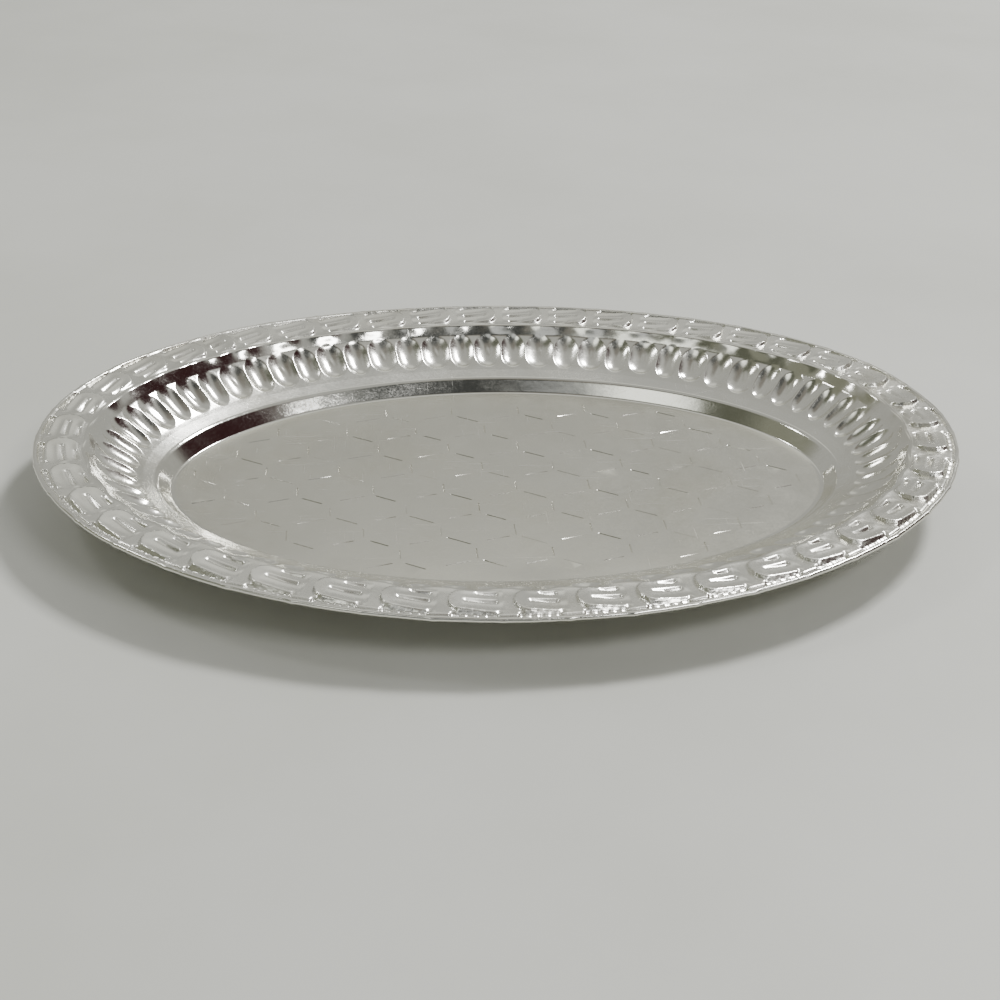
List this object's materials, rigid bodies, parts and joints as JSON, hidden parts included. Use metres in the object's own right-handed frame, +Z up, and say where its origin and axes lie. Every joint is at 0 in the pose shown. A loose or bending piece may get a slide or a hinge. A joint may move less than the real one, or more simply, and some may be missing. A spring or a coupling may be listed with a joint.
{
  "type": "offering plate",
  "caption": "Shallow oval offering plate pressed from thin sheet metal, with a flat well, fluted wall, shell-embossed rim flange and rolled edge",
  "frame": {"origin": "centre of the flat underside of the well, which is the bottom centre of the plate's box", "axes": "+X along the plate's long axis, +Y across it, +Z up out of the well"},
  "size_m": [0.3, 0.206, 0.0211],
  "materials": {
    "satin_floor": "satin",
    "mirror_ring": "polished",
    "satin_shoulder": "satin",
    "bright_flutes": "semi-bright",
    "mirror_cove": "polished",
    "embossed_flange": "satin",
    "bright_edge": "bright"
  },
  "bodies": {
    "root": {"well_floor": "satin_floor", "step_ring": "mirror_ring", "shoulder_band": "satin_shoulder", "fluted_wall": "bright_flutes", "rim_cove": "mirror_cove", "shell_flange": "embossed_flange", "rolled_edge": "bright_edge"}
  },
  "joints": []
}
